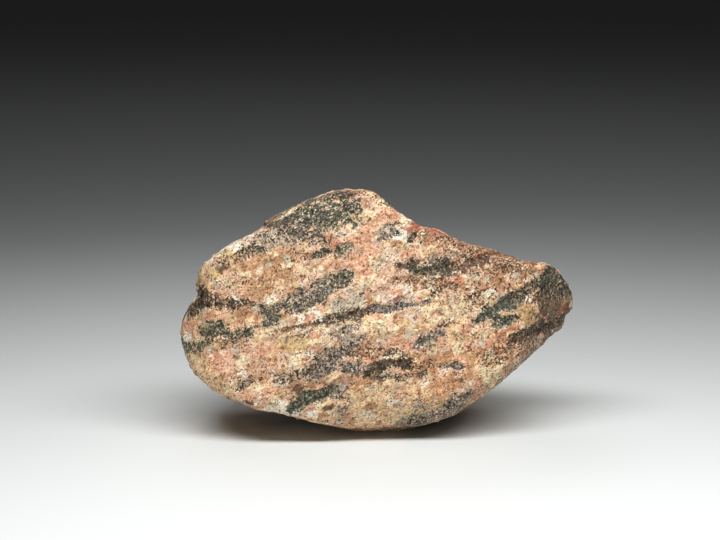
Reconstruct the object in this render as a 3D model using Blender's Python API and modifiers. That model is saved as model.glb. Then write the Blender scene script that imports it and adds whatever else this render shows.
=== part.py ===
"""Metamorphic rock: a hand specimen of coarse banded gneiss, resting on a small flat spot.

Units are metres and +Z is up. The stone's broad face looks along -Y, and its long axis lies along X.
The origin is on the floor, under the middle of the stone's length and depth.

The stone is split from a block. Its outline, as seen from a little above the broad face, is drawn first and
drawn out into a block. Flat break faces then cut the block's front, back and underside. Shallow chips are
knocked out of it, all of its edges are worn round, and the soft dark mica seams are weathered back into
ledges and grooves that follow the banding. The resting spot is a true flat.
"""

import math

import bmesh
import bpy
from mathutils import Matrix, Vector, noise

MM = 0.001

NODE_NAME = "rock"
COLLECTION_NAME = "metamorphic_rock"
CUTTERS_NAME = "cutters"

# The line of sight that the outline is drawn square to. The block's sides open along it by one part in
# SIGHT_DISTANCE, about the point SIGHT_CENTRE_X, SIGHT_CENTRE_HEIGHT.
SIGHT_DOWN = math.radians(11.0)
SIGHT_DISTANCE = 600.0 * MM
SIGHT_CENTRE_X = -4.4 * MM
SIGHT_CENTRE_HEIGHT = 42.3 * MM
BLOCK_HALF_DEPTH = 48.0 * MM
CUT_TOLERANCE = 1e-7

# Outline in millimetres: distance from the middle of the stone's length, and height above the resting
# spot. It runs clockwise from the left end, over the top and back along the underside.
OUTLINE_MM = (
    (-54.2, 25.0),
    (-54.0, 31.5),
    (-52.0, 36.2),
    (-50.5, 38.4),
    (-50.5, 41.6),
    (-48.6, 46.8),
    (-43.6, 50.7),
    (-39.6, 53.4),
    (-33.4, 56.6),
    (-31.9, 59.2),
    (-27.8, 61.6),
    (-25.6, 62.7),
    (-18.0, 65.8),
    (-10.2, 69.1),
    (-1.0, 68.5),
    (2.8, 65.4),
    (7.0, 61.2),
    (12.4, 57.8),
    (18.4, 56.8),
    (23.6, 53.4),
    (33.0, 51.6),
    (40.8, 48.3),
    (49.2, 47.2),
    (52.9, 44.4),
    (55.2, 39.8),
    (55.4, 34.6),
    (53.6, 30.0),
    (49.2, 27.2),
    (38.8, 17.5),
    (29.3, 9.6),
    (23.2, 5.2),
    (12.6, 1.4),
    (0.0, -1.0),
    (-10.0, 1.6),
    (-22.6, 5.0),
    (-34.6, 7.6),
    (-44.6, 11.2),
    (-50.8, 17.2),
    (-53.2, 21.6),
)
OUTLINE_DROP = 3.4 * MM

# Break faces: name, turn to the right of the broad face and tilt upwards, both in degrees, and a point on
# the face in millimetres.
BREAK_FACES = (
    ("front left", -11.0, 13.0, (-9.0, -26.0, 30.0)),
    ("front right", 11.0, 11.0, (-9.0, -26.0, 30.0)),
    ("front foot", 2.0, -5.0, (0.0, -25.0, 15.0)),
    ("front toe", 4.0, -26.0, (0.0, -21.2, 3.3)),
    ("front under", 2.0, -70.0, (0.0, -20.2, 3.3)),
    ("left end", -48.0, 10.0, (-51.5, -12.0, 30.0)),
    ("left foot", -42.0, -32.0, (-51.0, -14.0, 15.0)),
    ("top left bevel", -30.0, 48.0, (-40.0, -13.5, 54.0)),
    ("right end", 55.0, -7.0, (49.5, -6.0, 38.0)),
    ("right foot", 48.0, -38.0, (43.0, -7.3, 17.2)),
    ("underside left", -84.0, -75.0, (-22.6, -12.0, 3.4)),
    ("underside right", 96.0, -67.0, (14.0, -8.0, 0.6)),
    ("underside right end", 120.0, -50.0, (34.0, -1.0, 10.6)),
    ("crest left", -128.0, 52.0, (-38.0, -2.0, 53.8)),
    ("crest peak", -178.0, 64.0, (-6.0, -2.0, 68.2)),
    ("crest right", 142.0, 62.0, (3.0, 2.0, 66.6)),
    ("back left shoulder", -146.0, 36.0, (-40.0, 8.0, 47.0)),
    ("back peak", 176.0, 33.0, (-10.0, 18.0, 55.0)),
    ("back right slope", 156.0, 30.0, (12.0, 19.0, 50.0)),
    ("back right shoulder", 163.0, 46.0, (36.0, 15.0, 42.0)),
    ("back left", -146.0, 12.0, (-30.0, 22.0, 32.0)),
    ("back right", 150.0, 14.0, (32.0, 22.0, 32.0)),
    ("back", 178.0, -2.0, (2.0, 28.5, 26.0)),
    ("back foot", -174.0, -44.0, (0.0, 18.0, 3.0)),
    ("back left end", -112.0, -8.0, (-50.5, 6.0, 26.0)),
    ("back right end", 116.0, 4.0, (52.5, 16.0, 36.0)),
)

# Shallow chips: name, middle of the ball that takes the chip out, and the ball's radius, in millimetres.
CHIPS = (
    ("chip_left_back", (-64.0, 34.0, 44.0), 30.0),
    ("chip_top_back", (-30.0, 40.0, 74.0), 28.0),
    ("chip_right_shoulder", (30.0, 22.0, 84.0), 41.0),
    ("chip_right_back", (62.0, 46.0, 20.0), 32.0),
    ("chip_back_low", (-14.0, 52.0, 4.0), 28.0),
    ("chip_back_middle", (16.0, 62.0, 46.0), 36.0),
    ("chip_front_foot", (24.0, -43.0, -6.0), 24.0),
)
CHIP_SUBDIVISIONS = 4

# Wear of the edges: grain of the remeshed block, and how far it is relaxed.
WEAR_VOXEL = 0.9 * MM
WEAR_SMOOTHING = 0.5
WEAR_PASSES = 14

# The banding rises to the right along the broad face and falls towards the back.
BAND_RISE = math.radians(22.0)
BAND_FALL = math.radians(18.0)
BAND_ALONG = Vector((math.cos(BAND_RISE), 0.0, math.sin(BAND_RISE)))
BAND_INWARD = Vector((0.0, math.cos(BAND_FALL), -math.sin(BAND_FALL)))
BAND_UP = BAND_ALONG.cross(BAND_INWARD).normalized()

# Weathered mica seams: name, middle, half length, half thickness and depth of the groove, in millimetres.
SEAMS = (
    ("left notch", (-48.5, -9.0, 39.4), 12.0, 1.7, 1.1),
    ("left low", (-43.0, -17.0, 30.0), 10.0, 1.8, 0.6),
    ("upper left notch", (-31.5, -8.0, 57.6), 9.0, 1.5, 0.9),
    ("top patch", (-15.0, -14.0, 61.0), 8.0, 3.6, 0.5),
    ("middle ledge", (-15.0, -24.5, 44.0), 10.0, 2.0, 0.9),
    ("upper right seam", (18.0, -20.0, 47.7), 14.0, 1.5, 0.8),
    ("lower middle", (-7.0, -26.0, 25.0), 11.0, 2.4, 0.5),
    ("lower left", (-20.0, -24.0, 13.7), 8.0, 1.9, 0.5),
    ("right seam", (36.5, -14.0, 37.5), 12.0, 1.6, 0.5),
    ("right end notch", (49.5, 5.0, 26.6), 8.0, 1.6, 1.2),
    ("right end patch", (50.0, 2.0, 39.0), 6.0, 3.0, 0.6),
    ("back upper seam", (-8.0, 20.0, 50.0), 18.0, 1.8, 0.8),
    ("back middle seam", (14.0, 28.0, 34.0), 20.0, 1.6, 0.8),
    ("back lower seam", (-22.0, 27.0, 17.0), 16.0, 2.2, 0.9),
    ("back right seam", (38.0, 21.0, 24.0), 12.0, 1.5, 0.7),
)
SEAM_REACH = 17.0 * MM
SEAM_END = 4

# Unevenness of the broken faces: size of the forms, how much they are drawn out along the banding, height,
# and the place in the noise that they are read from.
SWELLS = (26.0 * MM, 1.3, 0.85 * MM, Vector((3.1, 7.7, 1.9)))
LEDGES = (6.0 * MM, 2.6, 0.42 * MM, Vector((11.3, 2.4, 5.2)))
PITS = (4.6 * MM, 1.6, 0.60 * MM, Vector((6.6, 9.1, 13.7)))
PIT_THRESHOLD = 0.16
LEDGE_ROUGHNESS = 1.0
LEDGE_LACUNARITY = 2.0
LEDGE_OCTAVES = 2

# Triangles of the finished surface, before the resting spot is cut.
FINISHED_TRIANGLES = 9200

# Side of the cube that the resting spot is cut flat with. Its top is the floor.
CUTTER_SIZE = 200.0 * MM

STONE_COLOUR = (0.60, 0.42, 0.30, 1.0)
STONE_ROUGHNESS = 0.75


def remove_scene_objects() -> None:
    """Empties the scene, so that the stone is alone in it."""
    for obj in list(bpy.data.objects):
        bpy.data.objects.remove(obj, do_unlink=True)


def new_collection(name: str, hidden: bool = False) -> bpy.types.Collection:
    """A collection in the scene, hidden from renders if it holds cutters."""
    collection = bpy.data.collections.new(name)
    bpy.context.scene.collection.children.link(collection)
    collection.hide_render = hidden
    return collection


def sight_point(across: float, height: float, depth: float) -> Vector:
    """The point seen at a place of the outline, this far along the line of sight beyond the stone's middle."""
    opening = (SIGHT_DISTANCE + depth) / SIGHT_DISTANCE
    x = SIGHT_CENTRE_X + (across - SIGHT_CENTRE_X) * opening
    up = SIGHT_CENTRE_HEIGHT + (height - OUTLINE_DROP - SIGHT_CENTRE_HEIGHT) * opening
    y = up * math.sin(SIGHT_DOWN) + depth * math.cos(SIGHT_DOWN)
    z = up * math.cos(SIGHT_DOWN) - depth * math.sin(SIGHT_DOWN)
    return Vector((x, y, z))


def outline_block() -> bmesh.types.BMesh:
    """The outline drawn out into a closed block along the line of sight."""
    block = bmesh.new()
    near = [block.verts.new(sight_point(x * MM, h * MM, -BLOCK_HALF_DEPTH)) for x, h in OUTLINE_MM]
    front = block.faces.new(near)
    grown = bmesh.ops.extrude_face_region(block, geom=[front], use_keep_orig=True)
    far = [item for item in grown["geom"] if isinstance(item, bmesh.types.BMVert)]
    for vert, (x, h) in zip(far, OUTLINE_MM):
        vert.co = sight_point(x * MM, h * MM, BLOCK_HALF_DEPTH)
    bmesh.ops.recalc_face_normals(block, faces=block.faces)
    return block


def facing(turn: float, tilt: float) -> Vector:
    """The direction a break face looks in, from its turn and tilt in degrees."""
    around = math.radians(turn)
    up = math.radians(tilt)
    return Vector((math.sin(around) * math.cos(up), -math.cos(around) * math.cos(up), math.sin(up)))


def split_off(block: bmesh.types.BMesh, normal: Vector, point: Vector) -> None:
    """Splits off all that lies beyond one flat break face, and closes the cut."""
    whole = block.verts[:] + block.edges[:] + block.faces[:]
    cut = bmesh.ops.bisect_plane(
        block, geom=whole, dist=CUT_TOLERANCE, plane_co=point, plane_no=normal, clear_outer=True
    )
    rim = [item for item in cut["geom_cut"] if isinstance(item, bmesh.types.BMEdge)]
    bmesh.ops.edgeloop_fill(block, edges=rim)


def broken_block(collection: bpy.types.Collection) -> bpy.types.Object:
    """The block with all of its break faces, as an object."""
    block = outline_block()
    for _name, turn, tilt, point in BREAK_FACES:
        split_off(block, facing(turn, tilt), Vector(point) * MM)
    bmesh.ops.triangulate(block, faces=block.faces)
    mesh = bpy.data.meshes.new("block")
    block.to_mesh(mesh)
    block.free()
    stone = bpy.data.objects.new("block", mesh)
    collection.objects.link(stone)
    return stone


def knock_out_chips(stone: bpy.types.Object, collection: bpy.types.Collection) -> None:
    """Takes the shallow chips out of the block with the sides of large balls."""
    for name, middle, radius in CHIPS:
        bpy.ops.mesh.primitive_ico_sphere_add(
            subdivisions=CHIP_SUBDIVISIONS, radius=radius * MM, location=Vector(middle) * MM
        )
        ball = bpy.context.object
        ball.name = name
        hide_cutter(ball, collection)
        cut = stone.modifiers.new(name, "BOOLEAN")
        cut.operation = "DIFFERENCE"
        cut.object = ball


def hide_cutter(cutter: bpy.types.Object, collection: bpy.types.Collection) -> None:
    """Moves a cutter to the cutters' collection, drawn as wires and left out of renders."""
    for holder in list(cutter.users_collection):
        holder.objects.unlink(cutter)
    collection.objects.link(cutter)
    cutter.hide_render = True
    cutter.display_type = "WIRE"


def wear_edges(stone: bpy.types.Object) -> None:
    """Rounds every edge by remeshing the block finely and relaxing it."""
    remesh = stone.modifiers.new("remesh", "REMESH")
    remesh.mode = "VOXEL"
    remesh.voxel_size = WEAR_VOXEL
    smooth = stone.modifiers.new("wear", "SMOOTH")
    smooth.factor = WEAR_SMOOTHING
    smooth.iterations = WEAR_PASSES


def evaluated_copy(source: bpy.types.Object, name: str) -> bpy.types.Mesh:
    """The object's mesh with its modifiers applied, after which the object is removed."""
    graph = bpy.context.evaluated_depsgraph_get()
    mesh = bpy.data.meshes.new_from_object(source.evaluated_get(graph))
    mesh.name = name
    bpy.data.objects.remove(source, do_unlink=True)
    return mesh


def drawn_out(point: Vector, size: float, stretch: float, offset: Vector) -> Vector:
    """Where a point reads the noise, in forms of this size drawn out along the banding."""
    along = point.dot(BAND_ALONG) / (size * stretch)
    inward = point.dot(BAND_INWARD) / (size * stretch)
    across = point.dot(BAND_UP) / size
    return Vector((along, inward, across)) + offset


def unevenness(point: Vector) -> float:
    """How far a break face swells or sinks at a point."""
    size, stretch, height, offset = SWELLS
    rise = height * noise.noise(drawn_out(point, size, stretch, offset))
    size, stretch, height, offset = LEDGES
    place = drawn_out(point, size, stretch, offset)
    rise += height * noise.fractal(place, LEDGE_ROUGHNESS, LEDGE_LACUNARITY, LEDGE_OCTAVES)
    size, stretch, height, offset = PITS
    hollow = noise.noise(drawn_out(point, size, stretch, offset)) - PIT_THRESHOLD
    return rise - height * max(0.0, hollow)


def seam_groove(point: Vector) -> float:
    """How deep the mica seams are weathered back at a point."""
    deepest = 0.0
    for _name, middle, half_length, half_thickness, depth in SEAMS:
        away = point - Vector(middle) * MM
        along = away.dot(BAND_ALONG) / (half_length * MM)
        across = away.dot(BAND_UP) / (half_thickness * MM)
        inward = away.dot(BAND_INWARD) / SEAM_REACH
        strength = math.exp(-(along**SEAM_END) - across**2 - inward**SEAM_END)
        deepest = max(deepest, depth * MM * strength)
    return deepest


def weather(mesh: bpy.types.Mesh) -> None:
    """Moves every point of the worn block in or out along its normal."""
    stone = bmesh.new()
    stone.from_mesh(mesh)
    stone.normal_update()
    moves = [
        vert.normal * (unevenness(vert.co) - seam_groove(vert.co))
        for vert in stone.verts
    ]
    for vert, move in zip(stone.verts, moves):
        vert.co += move
    stone.to_mesh(mesh)
    stone.free()


def thinned(mesh: bpy.types.Mesh, collection: bpy.types.Collection) -> bpy.types.Mesh:
    """The same surface with fewer faces."""
    stone = bpy.data.objects.new("weathered", mesh)
    collection.objects.link(stone)
    thin = stone.modifiers.new("fewer faces", "DECIMATE")
    triangles = sum(len(face.vertices) - 2 for face in mesh.polygons)
    thin.ratio = FINISHED_TRIANGLES / triangles
    return evaluated_copy(stone, NODE_NAME)


def centre_over_origin(mesh: bpy.types.Mesh) -> None:
    """Slides the stone along the floor until the middle of its length and depth is over the origin."""
    across = [vert.co.x for vert in mesh.vertices]
    inward = [vert.co.y for vert in mesh.vertices]
    middle = Vector((min(across) + max(across), min(inward) + max(inward), 0.0)) / 2
    mesh.transform(Matrix.Translation(-middle))


def grind_resting_spot(stone: bpy.types.Object, collection: bpy.types.Collection) -> None:
    """Cuts the underside flat at the floor, so that the stone rests on a true flat."""
    middle = Vector((0.0, 0.0, -CUTTER_SIZE / 2))
    bpy.ops.mesh.primitive_cube_add(size=CUTTER_SIZE, location=middle)
    floor = bpy.context.object
    floor.name = "floor_cutter"
    hide_cutter(floor, collection)
    cut = stone.modifiers.new("resting spot", "BOOLEAN")
    cut.operation = "DIFFERENCE"
    cut.object = floor


def stone_material() -> bpy.types.Material:
    """Plain pink-brown stone."""
    material = bpy.data.materials.new("gneiss")
    material.use_nodes = True
    shader = material.node_tree.nodes["Principled BSDF"]
    shader.inputs["Base Color"].default_value = STONE_COLOUR
    shader.inputs["Roughness"].default_value = STONE_ROUGHNESS
    shader.inputs["Metallic"].default_value = 0.0
    material.diffuse_color = STONE_COLOUR
    return material


def main() -> None:
    """Builds the stone."""
    remove_scene_objects()
    collection = new_collection(COLLECTION_NAME)
    cutters = new_collection(CUTTERS_NAME, hidden=True)

    block = broken_block(collection)
    knock_out_chips(block, cutters)
    wear_edges(block)
    mesh = evaluated_copy(block, NODE_NAME)
    weather(mesh)
    mesh = thinned(mesh, collection)
    centre_over_origin(mesh)
    mesh.materials.append(stone_material())

    stone = bpy.data.objects.new(NODE_NAME, mesh)
    collection.objects.link(stone)
    grind_resting_spot(stone, cutters)


main()
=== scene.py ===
"""Looks of a metamorphic rock: a hand specimen of coarse pink gneiss with wavy dark mica bands.

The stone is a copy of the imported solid, remeshed finely and given the relief of its grains. Its mineral
grains are scattered in the stone's own banding, and each takes its mineral from the patches and bands laid
on it. The material then breaks every grain up into specks and cleavage facets.

Places on the broad face are given in steps of the picture's 720 by 540 frame, as the camera sees them, and
are carried onto the stone along the line of sight. Places on the other sides are in millimetres, and so are
the camera's lens and sensor. All other lengths are in metres.
"""

import logging
import math
from dataclasses import dataclass
from enum import Enum

import bpy
import numpy as np
from mathutils import Matrix, Vector, kdtree, noise


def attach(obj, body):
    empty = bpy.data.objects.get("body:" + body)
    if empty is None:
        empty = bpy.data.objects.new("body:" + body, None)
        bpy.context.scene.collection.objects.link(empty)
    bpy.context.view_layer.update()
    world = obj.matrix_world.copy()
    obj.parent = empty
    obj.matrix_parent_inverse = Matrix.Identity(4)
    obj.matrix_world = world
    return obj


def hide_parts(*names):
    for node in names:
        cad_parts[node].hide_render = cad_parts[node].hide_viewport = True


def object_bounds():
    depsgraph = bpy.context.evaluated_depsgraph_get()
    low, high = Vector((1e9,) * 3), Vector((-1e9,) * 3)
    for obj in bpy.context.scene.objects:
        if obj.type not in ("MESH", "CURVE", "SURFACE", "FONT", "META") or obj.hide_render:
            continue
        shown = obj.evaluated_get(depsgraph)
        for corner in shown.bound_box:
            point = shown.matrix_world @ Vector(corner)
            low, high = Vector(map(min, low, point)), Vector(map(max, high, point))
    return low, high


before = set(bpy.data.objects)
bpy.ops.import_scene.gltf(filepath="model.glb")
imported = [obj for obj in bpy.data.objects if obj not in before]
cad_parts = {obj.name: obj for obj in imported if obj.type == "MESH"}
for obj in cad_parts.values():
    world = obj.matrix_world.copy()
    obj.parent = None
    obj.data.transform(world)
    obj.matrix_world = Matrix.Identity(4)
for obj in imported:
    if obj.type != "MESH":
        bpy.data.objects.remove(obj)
SOLID_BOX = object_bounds()

MM = 0.001
NODE = "rock"
BODY = "root"

log = logging.getLogger("gneiss")


def linear(red: int, green: int, blue: int) -> tuple[float, float, float]:
    """A colour in linear light, from its usual 0 to 255 screen values.

    Args:
        red: Red value.
        green: Green value.
        blue: Blue value.

    Returns:
        Red, green and blue from 0 to 1 in linear light.
    """

    def straighten(value: int) -> float:
        """One value from 0 to 255 in linear light."""
        share = value / 255.0
        return share / 12.92 if share <= 0.04045 else ((share + 0.055) / 1.055) ** 2.4

    return straighten(red), straighten(green), straighten(blue)


class Mineral(Enum):
    """The pale minerals of the stone, with their colours."""

    SALMON = linear(218, 166, 134)
    PINK = linear(222, 182, 154)
    BLUSH = linear(220, 194, 174)
    ORANGE = linear(200, 150, 108)
    RED = linear(200, 136, 100)
    RUSSET = linear(174, 106, 78)
    CRIMSON = linear(160, 98, 88)
    PEACH = linear(232, 194, 152)
    CREAM = linear(228, 204, 166)
    YELLOW = linear(218, 184, 130)
    OCHRE = linear(190, 154, 108)
    BROWN = linear(122, 92, 64)
    OLIVE = linear(154, 140, 108)
    QUARTZ = linear(196, 180, 158)
    WHITE = linear(236, 222, 202)
    CLOUD = linear(190, 174, 148)


class Mica(Enum):
    """The dark minerals of the bands, with their colours."""

    CHLORITE = linear(82, 82, 70)
    BIOTITE = linear(82, 68, 55)
    GREY = linear(112, 103, 98)
    RUST = linear(124, 88, 62)


class Side(Enum):
    """The side of the stone that a mark is laid on."""

    FRONT = "front"
    BACK = "back"
    TOP = "top"
    LEFT = "left"
    RIGHT = "right"
    BELOW = "below"


@dataclass(frozen=True)
class Sight:
    """The camera's line of sight onto the broad face."""

    down: float = math.radians(11.0)
    distance: float = 600.0 * MM
    aim_x: float = -5.115 * MM
    aim_y: float = -1.7 * MM
    aim_height: float = 42.3 * MM
    lens: float = 106.9
    sensor: float = 36.0
    frame_width: int = 720
    frame_height: int = 540

    def upward(self) -> Vector:
        """The direction that is up in the picture."""
        return Vector((0.0, math.sin(self.down), math.cos(self.down)))

    def inward(self) -> Vector:
        """The direction that the camera looks in."""
        return Vector((0.0, math.cos(self.down), -math.sin(self.down)))

    def aim(self) -> Vector:
        """The point at the middle of the picture."""
        return Vector((self.aim_x, self.aim_y, 0.0)) + self.aim_height * self.upward()

    def eye(self) -> Vector:
        """Where the camera stands."""
        return self.aim() - self.distance * self.inward()

    def step(self) -> float:
        """The length on the stone that one step of the picture's frame covers."""
        return self.sensor / self.frame_width / self.lens * self.distance

    def ray(self, across: float, down: float) -> Vector:
        """The direction from the camera through a place in the picture.

        Args:
            across: Steps from the picture's left edge.
            down: Steps from its top edge.

        Returns:
            The direction, of length one.
        """
        right = (across - self.frame_width / 2) * self.step()
        rise = (self.frame_height / 2 - down) * self.step()
        toward = self.distance * self.inward() + rise * self.upward()
        return (toward + Vector((right, 0.0, 0.0))).normalized()


@dataclass(frozen=True)
class Banding:
    """The stone's banding: it rises to the right and falls towards the back."""

    rise: float = math.radians(22.0)
    fall: float = math.radians(18.0)

    def matrix(self) -> Matrix:
        """The frame of the bands.

        Returns:
            Columns along the bands, inward along them, and square to them.
        """
        along = Vector((math.cos(self.rise), 0.0, math.sin(self.rise)))
        inward = Vector((0.0, math.cos(self.fall), -math.sin(self.fall)))
        upward = along.cross(inward).normalized()
        inward = upward.cross(along).normalized()
        return Matrix((along, inward, upward)).transposed()

    def parts(self, points: np.ndarray) -> np.ndarray:
        """Points as lengths along, inward and square to the bands.

        Args:
            points: Places in the stone's own frame, one a row.

        Returns:
            The same places in the frame of the bands.
        """
        return points @ np.array(self.matrix())


@dataclass(frozen=True)
class MicaBand:
    """A dark band, laid along a line on one side of the stone.

    Each knot of the line is a place and half the band's width there. On the front they are in steps of the
    picture. On the other sides they are in millimetres, along the side and up it, or along the stone and
    inward for the top and the underside.
    """

    name: str
    line: tuple[tuple[float, float, float], ...]
    mica: Mica = Mica.CHLORITE
    strength: float = 0.85
    reach: float = 15.0 * MM


@dataclass(frozen=True)
class GrainPatch:
    """A patch on the stone in which most grains are of one mineral, placed as a band's knots are."""

    name: str
    mineral: Mineral
    middle: tuple[float, float]
    half: tuple[float, float]
    rise: float = 20.0
    share: float = 0.8
    reach: float = 12.0 * MM


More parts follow.
